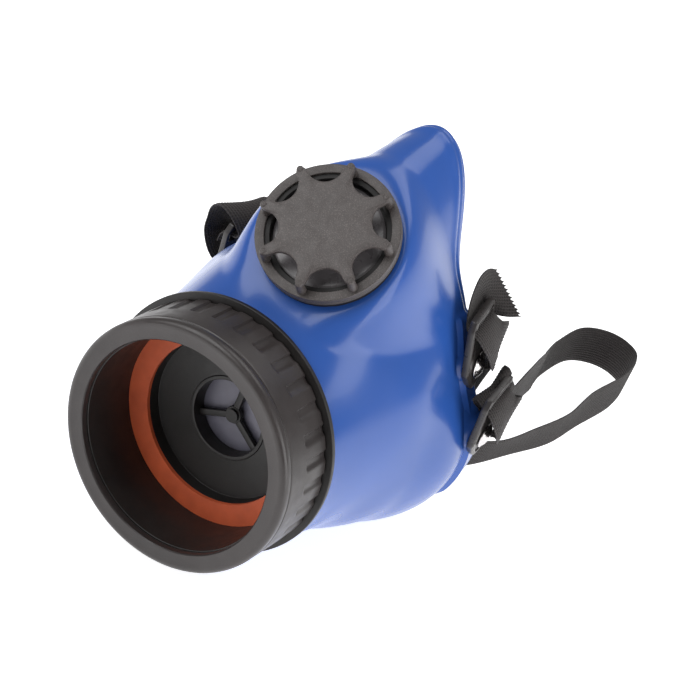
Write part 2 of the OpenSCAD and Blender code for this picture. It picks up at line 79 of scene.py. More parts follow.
def makeFinish(name, colour, rough, grain=0.25, grainMm=0.6, mottle=0.08, mottleMm=18, roughSpread=0.06,
               metallic=0.0, coat=0.0, coatRough=0.05, specular=0.5, speck=0.0):
    # Base colour = colour times (1 +- mottle x wide noise) with pale specks; roughness = rough +- spread x
    # noise; bump = fine noise of the grain's size; all on Object coordinates
    mat = bpy.data.materials.new(name)
    mat.use_nodes = True
    nodes, links = mat.node_tree.nodes, mat.node_tree.links
    shader = nodes["Principled BSDF"]
    place = nodes.new("ShaderNodeTexCoord")

    def noise(sizeMm, detail):
        node = nodes.new("ShaderNodeTexNoise")
        node.inputs["Scale"].default_value = 1000 / sizeMm
        node.inputs["Detail"].default_value = detail
        links.new(place.outputs["Object"], node.inputs["Vector"])
        return node.outputs["Fac"]

    def spread(value, low, high, fromLow=0.3, fromHigh=0.7):
        node = nodes.new("ShaderNodeMapRange")
        for key, number in (("From Min", fromLow), ("From Max", fromHigh), ("To Min", low), ("To Max", high)):
            node.inputs[key].default_value = number
        links.new(value, node.inputs["Value"])
        return node.outputs["Result"]

    def scaled(value, base):
        node = nodes.new("ShaderNodeVectorMath")
        node.operation = "SCALE"
        node.inputs[0].default_value = base
        links.new(value, node.inputs["Scale"])
        return node.outputs["Vector"]

    wide, fine = noise(mottleMm, 3), noise(grainMm, 4)
    tone = spread(wide, 1 - mottle, 1 + mottle)
    if speck:
        lift = spread(fine, 1, 1 + speck, 0.5, 0.75)
        times = nodes.new("ShaderNodeMath")
        times.operation = "MULTIPLY"
        links.new(tone, times.inputs[0])
        links.new(lift, times.inputs[1])
        tone = times.outputs["Value"]
    links.new(scaled(tone, colour), shader.inputs["Base Color"])
    worn = spread(noise(mottleMm / 3, 4), rough - roughSpread, rough + roughSpread)
    links.new(worn, shader.inputs["Roughness"])
    bump = nodes.new("ShaderNodeBump")
    bump.inputs["Strength"].default_value = grain
    bump.inputs["Distance"].default_value = grainDepth
    links.new(fine, bump.inputs["Height"])
    links.new(bump.outputs["Normal"], shader.inputs["Normal"])
    shader.inputs["Metallic"].default_value = metallic
    shader.inputs["Specular IOR Level"].default_value = specular
    shader.inputs["Coat Weight"].default_value = coat
    shader.inputs["Coat Roughness"].default_value = coatRough
    return mat


webbing = dict(ribMm=1.3, pickMm=1.0, ribShare=0.35, knotShare=0.3, fluffScale=1500, brightest=1.1, bump=0.7,
               bumpDepth=0.0003, rough=0.82, sheen=0.08, sheenRough=0.5)  # bumpDepth in metres


def makeWebbing(name, litCord, shadedValley):
    # Colour and bump from the strap's own UV map, in millimetres: ribs = cos of the place across,
    # knots = cos of the place along, alternating from one rib to the next, with noise for worn fluff; the
    # colour runs from the valley's painted shade up to the cord's painted highlight on rib tops and knots
    g = webbing
    mat = bpy.data.materials.new(name)
    mat.use_nodes = True
    nodes, links = mat.node_tree.nodes, mat.node_tree.links
    shader = nodes["Principled BSDF"]
    uv = nodes.new("ShaderNodeUVMap")
    uv.uv_map = "weave"
    split = nodes.new("ShaderNodeSeparateXYZ")
    links.new(uv.outputs["UV"], split.inputs[0])

    def maths(operation, a, b=None):
        node = nodes.new("ShaderNodeMath")
        node.operation = operation
        for slot, value in zip(node.inputs, (a, b)):
            if isinstance(value, (int, float)):
                slot.default_value = value
            elif value is not None:
                links.new(value, slot)
        return node.outputs["Value"]

    ribs = maths("COSINE", maths("MULTIPLY", split.outputs["Y"], 2000 * math.pi / g["ribMm"]))
    ribNumber = maths("FLOOR", maths("MULTIPLY", split.outputs["Y"], 1000 / g["ribMm"]))
    picks = maths("MULTIPLY", split.outputs["X"], 2000 * math.pi / g["pickMm"])
    knots = maths("COSINE", maths("ADD", picks, maths("MULTIPLY", ribNumber, math.pi)))
    place = nodes.new("ShaderNodeTexCoord")
    fluff = nodes.new("ShaderNodeTexNoise")
    fluff.inputs["Scale"].default_value = g["fluffScale"]
    fluff.inputs["Detail"].default_value = 3
    links.new(place.outputs["Object"], fluff.inputs["Vector"])
    worn = maths("ADD", maths("MULTIPLY", knots, g["knotShare"]), fluff.outputs["Fac"])
    height = maths("ADD", maths("MULTIPLY", ribs, g["ribShare"]), worn)
    # base colour follows the height: painted shade in the rib valleys, painted highlight on the cords and knots
    shadeMix = nodes.new("ShaderNodeMapRange")
    shadeMix.data_type = "FLOAT_VECTOR"
    # vector sockets: 6 is the value, 7 and 8 its range, 9 and 10 the result's range
    shadeMix.inputs[7].default_value = (0, 0, 0)
    shadeMix.inputs[8].default_value = (g["brightest"],) * 3
    shadeMix.inputs[9].default_value = shadedValley
    shadeMix.inputs[10].default_value = litCord
    links.new(height, shadeMix.inputs[6])
    links.new(shadeMix.outputs["Vector"], shader.inputs["Base Color"])
    bump = nodes.new("ShaderNodeBump")
    bump.inputs["Strength"].default_value = g["bump"]
    bump.inputs["Distance"].default_value = g["bumpDepth"]
    links.new(height, bump.inputs["Height"])
    links.new(bump.outputs["Normal"], shader.inputs["Normal"])
    shader.inputs["Roughness"].default_value = g["rough"]
    shader.inputs["Sheen Weight"].default_value = g["sheen"]
    shader.inputs["Sheen Roughness"].default_value = g["sheenRough"]
    return mat


finishes = {
    "facepiece_blue": makeFinish("glossyBlue", (0.024, 0.086, 0.345), 0.24, grain=0.03, grainMm=1.4,
                                 mottle=0.06, mottleMm=45, roughSpread=0.03, coat=0.12, coatRough=0.08,
                                 specular=0.38),
    "holder_black": makeFinish("holderBlack", (0.011, 0.0095, 0.009), 0.45, grain=0.12, mottle=0.2, speck=0.3),
    "ring_black": makeFinish("ringBlack", (0.027, 0.022, 0.0215), 0.38, grain=0.1, grainMm=0.5, mottle=0.15,
                             roughSpread=0.08, speck=0.3),
    "gasket_orange": makeFinish("gasketOrange", (0.56, 0.1, 0.035), 0.55, grain=0.2, mottle=0.12, mottleMm=9),
    "flap_grey": makeFinish("flapGrey", (0.15, 0.145, 0.185), 0.35, grain=0.05, mottle=0.15, mottleMm=12),
    "valve_black": makeFinish("valveBlack", (0.009, 0.008, 0.008), 0.55, grain=0.1, mottle=0.15, specular=0.3),
    "cover_black": makeFinish("coverBlack", (0.05, 0.042, 0.04), 0.5, grain=0.5, grainMm=0.4, mottle=0.05,
                              mottleMm=9, speck=1.3),
    "diaphragm_grey": makeFinish("diaphragmGrey", (0.13, 0.12, 0.125), 0.3, grain=0.03, mottle=0.15,
                                 mottleMm=8),
    "buckle_black": makeFinish("buckleBlack", (0.03, 0.026, 0.025), 0.34, grain=0.14, grainMm=0.8, mottle=0.2,
                               mottleMm=6, roughSpread=0.1, speck=0.4),
    "rivet_chrome": makeFinish("rivetChrome", (0.6, 0.575, 0.57), 0.2, grain=0.05, grainMm=0.9, mottle=0.22,
                               mottleMm=3, roughSpread=0.07, metallic=1.0),
    # the strap's cord colour carries a painted highlight and its valley colour a painted shade
    "strap_black": makeWebbing("ribbedElastic", (0.034, 0.027, 0.0265), (0.009, 0.0075, 0.007)),
}
print("materials ready")


def gridQuads(rows, cols, wrapRows, wrapCols, first):
    # Quad (i, j) joins the grid's points (i, j), (i, j+1), (i+1, j+1) and (i+1, j)
    i = np.arange(rows if wrapRows else rows - 1)[:, None]
    j = np.arange(cols if wrapCols else cols - 1)[None, :]
    corner = [first + (a % rows) * cols + b % cols
              for a, b in ((i, j), (i, j + 1), (i + 1, j + 1), (i + 1, j))]
    return np.stack(np.broadcast_arrays(*corner), -1).reshape(-1, 4)


def makePiece(name, grids, slot, body=None, replaces=(), smooth=38, cut=None, weave=None):
    # Each grid is (points, wrapRows, wrapCols); doubled points merge, and every closed shell turns outwards
    points = np.concatenate([g[0].reshape(-1, 3) for g in grids]) / 1000
    starts = np.cumsum([0] + [g[0].shape[0] * g[0].shape[1] for g in grids])
    quads = np.concatenate([gridQuads(*g[0].shape[:2], g[1], g[2], s) for g, s in zip(grids, starts)])
    mesh = bpy.data.meshes.new(name)
    mesh.from_pydata(points.tolist(), [], quads.tolist())
    if weave is not None:  # the loops' UVs are their points' places along and across
        corner = np.empty(len(mesh.loops), np.int64)
        mesh.loops.foreach_get("vertex_index", corner)
        mesh.uv_layers.new(name="weave").data.foreach_set("uv", weave.reshape(-1, 2)[corner].ravel() / 1000)
    bm = bmesh.new()
    bm.from_mesh(mesh)
    bmesh.ops.remove_doubles(bm, verts=bm.verts, dist=1e-6)
    if cut is not None:  # the cut faces go from both walls, and a band of faces joins the two edges
        bm.faces.ensure_lookup_table()
        middles = np.array([f.calc_center_median() for f in bm.faces]) * 1000
        gone = [bm.faces[k] for k in np.nonzero(cut(middles))[0]]
        bmesh.ops.delete(bm, geom=gone, context="FACES")
        bmesh.ops.bridge_loops(bm, edges=[e for e in bm.edges if e.is_boundary])
        bmesh.ops.triangulate(bm, faces=[f for f in bm.faces if len(f.verts) > 4])
    bmesh.ops.recalc_face_normals(bm, faces=bm.faces)
    bm.to_mesh(mesh)
    bm.free()
    mesh.shade_smooth()
    mesh.set_sharp_from_angle(angle=math.radians(smooth))
    piece = bpy.data.objects.new(name, mesh)
    bpy.context.scene.collection.objects.link(piece)
    mesh.materials.append(finishes[slot])
    if body:
        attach(piece, body)
    if replaces:
        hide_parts(*replaces)
    return piece


cornerShare = 0.42  # most of a side that one rounded corner may take


def rounded(outline, radius, steps=4):
    # Every corner of a closed (r, z) outline becomes a quadratic curve between points a radius away from it
    p = np.asarray(outline, float)
    before, after = np.roll(p, 1, 0) - p, np.roll(p, -1, 0) - p
    reach = [np.minimum(radius, cornerShare * np.linalg.norm(v, axis=1)) / np.linalg.norm(v, axis=1)
             for v in (before, after)]
    a, b = p + before * reach[0][:, None], p + after * reach[1][:, None]
    s = np.linspace(0, 1, steps + 1)[None, :, None]
    return ((1 - s) ** 2 * a[:, None] + 2 * s * (1 - s) * p[:, None] + s * s * b[:, None]).reshape(-1, 2)


def lathe(outline, around=160, radius=0.35, steps=4):
    # (r, z) turned round z: (r cos t, r sin t, z)
    rz = rounded(outline, radius, steps) if radius else np.asarray(outline, float)
    t = np.arange(around) * 2 * np.pi / around
    r, z = np.maximum(rz[:, 0, None], 0), rz[:, 1, None]
    return np.stack(np.broadcast_arrays(r * np.cos(t), r * np.sin(t), z), -1)


def bar(length0, length1, width, low, high, turn, radius=0.3):
    # Rounded rectangle across, carried along x from length0 to length1, closed onto its middle at both ends,
    # then turned round z
    half = width / 2
    section = rounded([(-half, low), (half, low), (half, high), (-half, high)], radius, 3)
    ends = np.array([length0, length0, length1, length1])
    size = np.array([0, 1, 1, 0])[:, None]
    mid = (low + high) / 2
    x = np.broadcast_to(ends[:, None], (4, len(section)))
    y, z = section[None, :, 0] * size, mid + (section[None, :, 1] - mid) * size
    c, s = math.cos(math.radians(turn)), math.sin(math.radians(turn))
    return np.stack([x * c - y * s, x * s + y * c, z], -1)


def atPort(p):  # the socket's axes: z comes out of the socket
    return np.stack([p[..., 0], -p[..., 2], p[..., 1]], -1)


valve = dict(centre=(0, 25.85, 78.5), tilt=43.6)
valveCentre = np.array(valve["centre"])
valveAxis = np.array([0, -math.cos(math.radians(valve["tilt"])), math.sin(math.radians(valve["tilt"]))])
valveUp = np.array([0, valveAxis[2], -valveAxis[1]])


def atValve(p):  # the valve's axes: z comes out along the valve's tilt
    return valveCentre + p[..., :1] * (1, 0, 0) + p[..., 1:2] * valveUp + p[..., 2:] * valveAxis


def fade(x):
    # Smooth step: 3 c^2 - 2 c^3, with c = x held between 0 and 1
    c = np.clip(x, 0, 1)
    return c * c * (3 - 2 * c)


def spline(rows, u):
    # Catmull-Rom through evenly spaced rows, with the end rows held
    rows, u = np.asarray(rows, float), np.atleast_1d(u)
    i = np.minimum(np.floor(u).astype(int), len(rows) - 2)
    f = (u - i).reshape((-1,) + (1,) * (rows.ndim - 1))
    a, b, c, d = rows[np.clip(i + np.arange(-1, 3)[:, None], 0, len(rows) - 1)]
    return 0.5 * (2 * b + (c - a) * f + (2 * a - 5 * b + 4 * c - d) * f * f + (3 * b - a - 3 * c + d) * f ** 3)


# Facepiece. Stations from the front wall to the rim: distances back, radii past the wall's, ridge rise and
# ridge spread; values every 30 degrees from the nose ridge round the side to the chin
face = dict(
    wallR=47, wallY=1.2, skin=3, holeR=36.2, stepR=44.3, stepY=3.6, backY=6.6, rows=120, around=320,
    stations=[
        ([0] * 7, [0] * 7, 0.5, 40),
        ([10, 10.8, 11.8, 12, 12, 12, 12], [3.5, 2.6, 1.8, 1.5, 2.3, 3, 3], 6, 36),
        ([27.8, 28.8, 30.8, 30.8, 30.8, 30.8, 29.8], [7, 6, 5, 5, 6.5, 6.5, 4.5], 22, 30),
        ([49.8, 50.8, 53.8, 55.8, 57.8, 57.8, 55.8], [10, 10, 9.3, 10, 14.5, 12.5, 7], 37, 22),
        ([70.8, 71.8, 74.8, 79.8, 81.8, 78.8, 73.8], [13, 15, 8.8, 14.6, 20.5, 17, 8], 42, 18),
        ([87.5, 87.8, 92.7, 101.2, 104.2, 96.2, 88.2], [15, 16, 6.6, 11, 18, 15.5, 6.5], 44.5, 16)],
    # the flat for the valve, and the hole for its neck: radius, and heights from the valve's centre
    padH=-7, padR=27.2, padFade=15, neckR=18.6, neckH=-8.5, neckReach=4,
    # the lip's swell, the step under the buckles, the flank and the soft folds low on the body: depth in mm,
    # place and reach in stations, side angles in degrees
    lipSwell=0.9, lipAt=4.82, lipReach=0.16, lipSide=60, lipSideFade=30,
    bandStep=-2.0, bandAt=4.42, bandReach=0.07, bandSide=38, bandSideFade=4, bandEnd=125, bandEndFade=10,
    flank=1.8, flankAt=2.6, flankReach=0.8, flankSide=55, flankSpread=20,
    foldDepth=0.3, foldFrom=0.8, foldFromFade=0.6, foldTo=3.6, foldToFade=0.8, foldSide=95, foldSideFade=30,
    foldWaves=5.5, foldLean=0.05,
    # the rim's roll: (inwards, backwards) from the end of the outer skin
    noseRoll=[(-0.3, 1.2), (0, 2.6), (1.2, 3.5), (2.1, 3.9), (2.0, 4.8), (2.2, 6.1), (3.3, 7.1), (5, 7.3),
              (6.7, 6.6), (7.6, 5), (7.2, 3), (5.6, 1.4), (4, -0.4)],
    sideRoll=[(0, 0.8), (0.3, 1.6), (0.9, 2.3), (1.7, 2.7), (2.6, 2.9), (3.6, 2.9), (4.6, 2.7), (5.6, 2.4),
              (6.4, 1.9), (6.8, 1.2), (6.4, 0.5), (5.4, 0), (4, -0.4)],
    rollRows=40, noseFrom=0.72, noseFade=0.22)


def evenWave(values, a):
    # The sum of cosines through the values at every 30 degrees
    k = np.arange(7)
    ends = np.where((k == 0) | (k == 6), 0.5, 1.0)
    parts = (values * ends) @ np.cos(np.outer(k, k) * np.pi / 6) * ends / 3
    return parts @ np.cos(np.outer(k, a))


def skin(u, a, inset):
    # Radius = wall + wave + rise exp(-(side/spread)^2) - inset; place = (r sin a, back, r cos a),
    # flattened at the valve
    g = face
    backs, radii = (evenWave(spline([row[k] for row in g["stations"]], u), a) for k in (0, 1))
    rise, spread = (spline([[row[k]] for row in g["stations"]], u) for k in (2, 3))
    side = np.degrees(np.minimum(a, 2 * np.pi - a))[None, :]
    t = u[:, None]
    r = g["wallR"] + radii + rise * np.exp(-(side / spread) ** 2) - inset
    if inset == 0:  # the outer skin only
        lipFront = fade((g["lipSide"] - side) / g["lipSideFade"])
        r = r + g["lipSwell"] * np.exp(-((t - g["lipAt"]) / g["lipReach"]) ** 2) * lipFront
        r = r - (g["bandStep"] * fade((t - g["bandAt"]) / g["bandReach"])
                 * fade((side - g["bandSide"]) / g["bandSideFade"])
                 * fade((g["bandEnd"] - side) / g["bandEndFade"]))
        r = r + g["flank"] * np.exp(-((side - g["flankSide"]) / g["flankSpread"]) ** 2
                                    - ((t - g["flankAt"]) / g["flankReach"]) ** 2)
        low = (fade((side - g["foldSide"]) / g["foldSideFade"]) * fade((t - g["foldFrom"]) / g["foldFromFade"])
               * fade((g["foldTo"] - t) / g["foldToFade"]))
        r = r + g["foldDepth"] * low * np.sin(g["foldWaves"] * t + g["foldLean"] * side)
    y = g["wallY"] + backs + inset * (1 - fade(t))
    p = np.stack(np.broadcast_arrays(r * np.sin(a), y, r * np.cos(a)), -1)
    d = p - valveCentre
    h = d @ valveAxis
    away = np.linalg.norm(d - h[..., None] * valveAxis, axis=-1)
    share = fade((g["padR"] + g["padFade"] - away) / g["padFade"])
    return p + valveAxis * (share * (g["padH"] - inset - h))[..., None]


even = np.arange(face["around"]) * 2 * np.pi / face["around"]
around = even - 0.5 * np.sin(even)  # closer together at the nose ridge


def flatRow(r, y):  # one row of points round y
    return np.stack([r * np.sin(around), np.full_like(around, y), r * np.cos(around)], -1)[None]


outerSkin = skin(np.linspace(0, 5, face["rows"]), around, 0)
innerSkin = skin(np.linspace(4.93, 0.6, face["rows"] - 20), around, face["skin"])
rim = outerSkin[-1]
inward = -np.stack([np.sin(around), 0 * around, np.cos(around)], -1)
noseShare = fade((np.cos(around) - face["noseFrom"]) / face["noseFade"])[:, None]
rollAt = np.linspace(0, len(face["noseRoll"]), face["rollRows"])[1:]
noseLine, sideLine = (spline([(0, 0)] + face[k], rollAt) for k in ("noseRoll", "sideRoll"))
rollLine = sideLine[:, None] + (noseLine - sideLine)[:, None] * noseShare
rollRows = rim + inward * rollLine[..., :1] + np.array([0, 1, 0]) * rollLine[..., 1:]
faceRows = np.concatenate([flatRow(face["holeR"], face["stepY"]), flatRow(face["stepR"], face["stepY"]),
                           flatRow(face["stepR"], face["wallY"] + 0.4), outerSkin, rollRows, innerSkin,
                           flatRow(face["wallR"] - face["skin"], face["backY"]),
                           flatRow(face["holeR"], face["backY"])])


def neckHole(middles):
    # True where a face's middle is inside the neck's radius and near its height along the valve's axis
    d = middles - valveCentre
    h = d @ valveAxis
    away = np.linalg.norm(d - h[:, None] * valveAxis, axis=1)
    return (away < face["neckR"]) & (abs(h - face["neckH"]) < face["neckReach"])


# Buckles: place on the facepiece and turn round x, y, z in degrees; sides are (across, up, distance), the slot
# is its middle and half sizes, and the boss is (radius, height)
buckle = dict(upper=((51.3, 93.2, 28.6), (7, -13, 10)), lower=((64.6, 98.5, 0.8), (10, -1, 7.5)),
              thick=2.5, around=240, ridge=0.45,
              sides=[(0, -1, 10), (1, 0, 12.5), (0, 1, 25), (0.774, -0.633, 9.04), (0.848, 0.53, 21.7)],
              slot=(0, 19.3, 10.5, 2.3), slotPower=14, outlinePower=40, notchDeep=0.5, notchAt=3.5, notchW=0.5,
              notchPast=8, bossRound=1.2,
              boss=[(2.4, -9.8), (13.5, -9.8), (9.3, -5.5), (8.5, -2.8), (2.4, -2.8)])


def turned(turn):  # the matrix that turns round x, then y, then z
    x, y, z = (math.radians(t) for t in turn)
    return np.array(Matrix.Rotation(z, 3, "Z") @ Matrix.Rotation(y, 3, "Y") @ Matrix.Rotation(x, 3, "X"))


def atBuckle(which, p):
    # A buckle's own axes: x leaves the cheek, z points to the slot; the right side is mirrored
    spot, turn = buckle[which.split("_")[0]]
    q = np.asarray(p, float) @ turned(turn).T + spot
    return q if which.endswith("left") else q * (-1, 1, 1)


def outwards(p):  # turned round x instead of z
    return np.stack([p[..., 2], p[..., 0], p[..., 1]], -1)


corners = ["upper_left", "upper_right", "lower_left", "lower_right"]
boss = outwards(lathe(buckle["boss"], 72, buckle["bossRound"]))
makePiece("facepieceSkin", [(faceRows, True, True)] + [(atBuckle(c, boss), True, True) for c in corners],
          "facepiece_blue", "root", ["facepiece"], smooth=35, cut=neckHole)
print("facepiece done")

# Filter holder: outlines are (radius, height) from the cartridge seat
holder = dict(outline=[(40, 24.8), (44.2, 24.8), (44.2, 0.8), (50.3, 0.8), (50.3, -1), (44.1, -1), (44.1, -3.4),
                       (36, -3.4), (36, -12.4), (31.6, -12.4), (31.6, -9.5), (17.4, -9.5), (17.4, -13.5),
                       (15, -13.5), (15, -6.6), (16.5, -6.6), (16.5, -7.1), (31.6, -7.1), (31.6, -1.6),
                       (41.8, -1.6), (41.8, -0.01), (40, -0.01)],
              hub=[(1.2, -12.8), (3.4, -12.8), (3.4, -10.4), (1.2, -10.4)],
              spokes=(90, 210, 330), spokeFrom=2.6, spokeTo=15.6, spokeW=2.6, spokeLow=-12.6, spokeHigh=-10.6)
holderGrids = [(atPort(lathe(holder["outline"], 200, 0.3)), True, True),
               (atPort(lathe(holder["hub"], 48, 0.25)), True, True)]
spokeSize = [holder[k] for k in ("spokeFrom", "spokeTo", "spokeW", "spokeLow", "spokeHigh")]
holderGrids += [(atPort(bar(*spokeSize, t)), False, True) for t in holder["spokes"]]
makePiece("filterHolder", holderGrids, "holder_black", "root", ["filter_holder"])

# Retaining ring: heights from the cartridge seat
ring = dict(front=28.2, back=1.3, outR=47.95, lipR=40.4, innerR=44.25, lipT=3.2, edgeR=2.2, faceDip=0.12,
            grooveAt=24.0, grooveDeep=0.35, grooveW=0.28, slots=32, slotW=3.2, slotDeep=0.8, slotFrom=1.0,
            slotTo=14.4, slotMinR=46.5, slotSteep=0.5, slotSlope=2.2, slotSteepOut=0.2, slotSlopeOut=1.2,
            slotStart=0.4, slotEnd=0.8, around=32 * 14)


def ringRows():
    # Outline turned round z; slots take slotDeep off the outer radius where the distance across is within half
    # a slot and z is in range, steep on one side and sloping on the other
    g = ring
    rz = rounded([(g["lipR"], g["front"] - 0.4), (g["lipR"], g["front"] - g["lipT"]),
                  (g["innerR"], g["front"] - g["lipT"]), (g["innerR"], g["back"]), (g["outR"] - 0.1, g["back"]),
                  (g["outR"], g["back"] + 1.2)], 0.3, 3)
    z = np.concatenate([np.linspace(2.8, 23.2, 44), [23.6, 23.8, 24.0, 24.2, 24.6]])
    groove = g["grooveDeep"] * np.exp(-((z - g["grooveAt"]) / g["grooveW"]) ** 2)
    side = np.stack([g["outR"] - groove, z], -1)
    turn = np.radians(np.linspace(0, 90, 9))
    edge = np.stack([g["outR"] - g["edgeR"] + g["edgeR"] * np.cos(turn),
                     g["front"] - g["edgeR"] + g["edgeR"] * np.sin(turn)], -1)
    mouth = [(45.2, g["front"]), (44.9, g["front"] - g["faceDip"]), (41.2, g["front"] - g["faceDip"]),
             (40.8, g["front"] - 0.15)]
    rz = np.concatenate([rz, side, edge, mouth])
    t = np.arange(g["around"]) * 2 * np.pi / g["around"]
    pitch = 2 * np.pi / g["slots"]
    across = ((t / pitch + 0.5) % 1 - 0.5) * pitch * g["outR"]
    inSlot = (fade((g["slotW"] / 2 - across + g["slotSteepOut"]) / g["slotSteep"])
              * fade((across + g["slotW"] / 2 + g["slotSlopeOut"]) / g["slotSlope"]))
    inLength = (fade((rz[:, 1] - g["slotFrom"]) / g["slotStart"])
                * fade((g["slotTo"] - rz[:, 1]) / g["slotEnd"]))
    r = rz[:, :1] - g["slotDeep"] * inSlot[None, :] * (inLength * (rz[:, 0] > g["slotMinR"]))[:, None]
    return np.stack(np.broadcast_arrays(r * np.cos(t), r * np.sin(t), rz[:, 1:]), -1)


makePiece("retainingRing", [(atPort(ringRows()), True, True)], "ring_black", "ring", ["retaining_ring"],
          smooth=30)
print("socket done")

# Star cover: heights from the valve's centre along its axis
star = dict(points=8, plateR=24.6, tipR=2.1, windowR=7.38, windowAt=24.1, top=6.7, thick=1.7, turn=15.3,
            rim=[(23.1, -4.3), (26.6, -4.3), (26.6, -3.5), (26.25, -3.2), (26.6, -2.9), (26.6, 0), (25.6, 0.05),
                 (23.1, 0), (23.1, -1.4), (23.3, -2)],
            post=[(0, -0.5), (1.8, -0.5), (1.5, 5.8), (1.3, 6.7), (0.9, 7.1), (0, 7.25)], postAt=23.9,
            around=8 * 60)


def starOutline(t):
    # Polar outline: the core circle, cut where a ray meets a window's circle, out to the tip's circle near
    # each tip, then averaged with its two neighbours
    g = star
    core = g["plateR"] - g["tipR"]
    pitch = 2 * np.pi / g["points"]
    tip = (t / pitch + 0.5) % 1 * pitch - pitch / 2
    window = (t / pitch) % 1 * pitch - pitch / 2
    hit = g["windowR"] ** 2 - (g["windowAt"] * np.sin(window)) ** 2
    cutR = np.where(hit > 0, g["windowAt"] * np.cos(window) - np.sqrt(np.maximum(hit, 0)), core)
    reach = g["tipR"] ** 2 - (core * np.sin(tip)) ** 2
    tipOut = np.where(reach > 0, core * np.cos(tip) + np.sqrt(np.maximum(reach, 0)), 0)
    r = np.maximum(np.minimum(cutR, core), tipOut)
    return (np.roll(r, 1) + 2 * r + np.roll(r, -1)) / 4


def starPlate():
    # Rows from the middle of the top over a rounded edge to the middle of the underside:
    # (share of the outline's radius, less so much, height)
    g = star
    t = np.arange(g["around"]) * 2 * np.pi / g["around"]
    r = starOutline(t)
    top, low = g["top"], g["top"] - g["thick"]
    rows = [(0, 0, top + 0.25), (0.35, 0, top + 0.22), (0.7, 0, top + 0.12), (1, 0.75, top + 0.03),
            (1, 0.3, top - 0.06), (1, 0.08, top - 0.24), (1, 0, top - 0.5), (1, 0, low + 0.3), (1, 0.25, low),
            (1, 0.6, low), (0.6, 0, low), (0, 0, low)]
    share, off, z = (np.array(v)[:, None] for v in zip(*rows))
    rr = np.maximum(share * r - off, 0)
    return np.stack(np.broadcast_arrays(rr * np.cos(t), rr * np.sin(t), z), -1)


def turnedZ(p, degrees):  # turned round z
    c, s = math.cos(math.radians(degrees)), math.sin(math.radians(degrees))
    return np.stack([p[..., 0] * c - p[..., 1] * s, p[..., 0] * s + p[..., 1] * c, p[..., 2]], -1)


post = lathe(star["post"], 24, 0.5) + (star["postAt"], 0, 0)
coverGrids = [(starPlate(), False, True), (lathe(star["rim"], 180, 0.3), True, True)]
coverGrids += [(turnedZ(post, k * 360 / star["points"]), True, True) for k in range(star["points"])]
makePiece("starCover", [(atValve(turnedZ(g, star["turn"])), a, b) for g, a, b in coverGrids],
          "cover_black", "valve_cover", ["exhalation_cover"])

# Valve discs: outlines are (radius, height)
disc = dict(diaphragm=[(0, -3.1), (6, -2.95), (14, -3.1), (19.6, -3.4), (20.65, -3.7), (20.3, -4.1),
                       (1.6, -4.1), (1.6, -9.7), (2.5, -9.8), (2.2, -11.5), (0, -11.5)],
            flap=[(1.3, -13.62), (9, -13.62), (16.8, -13.62), (17.1, -13.9), (17.1, -14.5), (1.3, -14.6)])
makePiece("exhalationDisc", [(atValve(lathe(disc["diaphragm"], 120, 0.3)), True, True)], "diaphragm_grey",
          "exhalation_disc", ["exhalation_diaphragm"])
makePiece("inhalationDisc", [(atPort(lathe(disc["flap"], 96, 0.2)), True, True)], "flap_grey",
          "inhalation_disc", ["inhalation_flap"])
print("valves done")


def polygonReach(t, centre, sides, power):
    # Distance to a rounded convex outline: the power mean of each side's 1 / distance along the ray
    y, z = np.cos(t), np.sin(t)
    pull = 0
    for ny, nz, far in sides:
        pull = pull + np.maximum((ny * y + nz * z) / (far - ny * centre[0] - nz * centre[1]), 0) ** power
    return pull ** (-1 / power)


def bucklePlate():
    # Rows run from the slot's edge over the front to the outline and back under the plate
    g = buckle
    # a side that leans across is there both ways
    sides = [(s * ny, nz, far) for ny, nz, far in g["sides"] for s in ((1, -1) if ny else (1,))]
    cy, cz, halfY, halfZ = g["slot"]
    e = np.arange(g["around"]) * 2 * np.pi / g["around"]
    t = np.arctan2(np.sin(e) * (halfZ + 5), np.cos(e) * halfY)
    hole = [(1, 0, cy + halfY), (-1, 0, halfY - cy), (0, 1, cz + halfZ), (0, -1, halfZ - cz)]
    near = polygonReach(t, (cy, cz), hole, g["slotPower"])
    far = polygonReach(t, (cy, cz), sides, g["outlinePower"])
    notch = g["notchDeep"] * np.exp(-((np.sin(t) * far + cz - g["notchAt"]) / g["notchW"]) ** 2)
    far = far - notch * (np.abs(np.cos(t)) * far > g["notchPast"])
    gap = far - near
    ridge, thick = g["ridge"], g["thick"]
    # (from the slot's edge, from the outline, depth); a distance never takes more than its share of the gap
    rows = [(0, None, -1.2), (0, None, -0.35), (0.12, None, -0.1), (0.4, None, 0), (0.5, None, ridge * 0.6),
            (0.9, None, ridge * 0.6), (1.1, None, -0.1), (None, 2.3, -0.1), (None, 2.0, ridge),
            (None, 1.1, ridge), (None, 0.9, ridge * 0.5), (None, 0.35, ridge * 0.4), (None, 0.1, 0),
            (None, 0, -0.4),
            (None, 0, 0.5 - thick), (None, 0.15, 0.15 - thick), (None, 0.5, -thick), (0.5, None, -thick),
            (0.15, None, 0.15 - thick), (0, None, 0.5 - thick)]
    r = np.stack([near + np.minimum(a, cornerShare * gap) if a is not None else far - np.minimum(b, gap / 2)
                  for a, b, _ in rows])
    x = np.broadcast_to(np.array([row[2] for row in rows])[:, None], r.shape)
    return np.stack([x, cy + r * np.cos(t), cz + r * np.sin(t)], -1)


rivet = dict(outline=[(0, -11.4), (2.5, -11.4), (2.5, 0.3), (5.5, 0.3), (5.5, 0.8), (5.2, 1.15), (4.75, 1.1),
                      (4.4, 1.55), (3.3, 2.2), (1.8, 2.6), (0, 2.72)])
plate, rivetRows = bucklePlate(), outwards(lathe(rivet["outline"], 96, 0.3))
for c in corners:
    camel = c.split("_")[0] + c.split("_")[1].title()
    makePiece(camel + "Buckle", [(atBuckle(c, plate), True, True)], "buckle_black", c + "_buckle",
              ["buckle_" + c])
    makePiece(camel + "Rivet", [(atBuckle(c, rivetRows), True, True)], "rivet_chrome", "root", ["rivet_" + c])
print("buckles done")

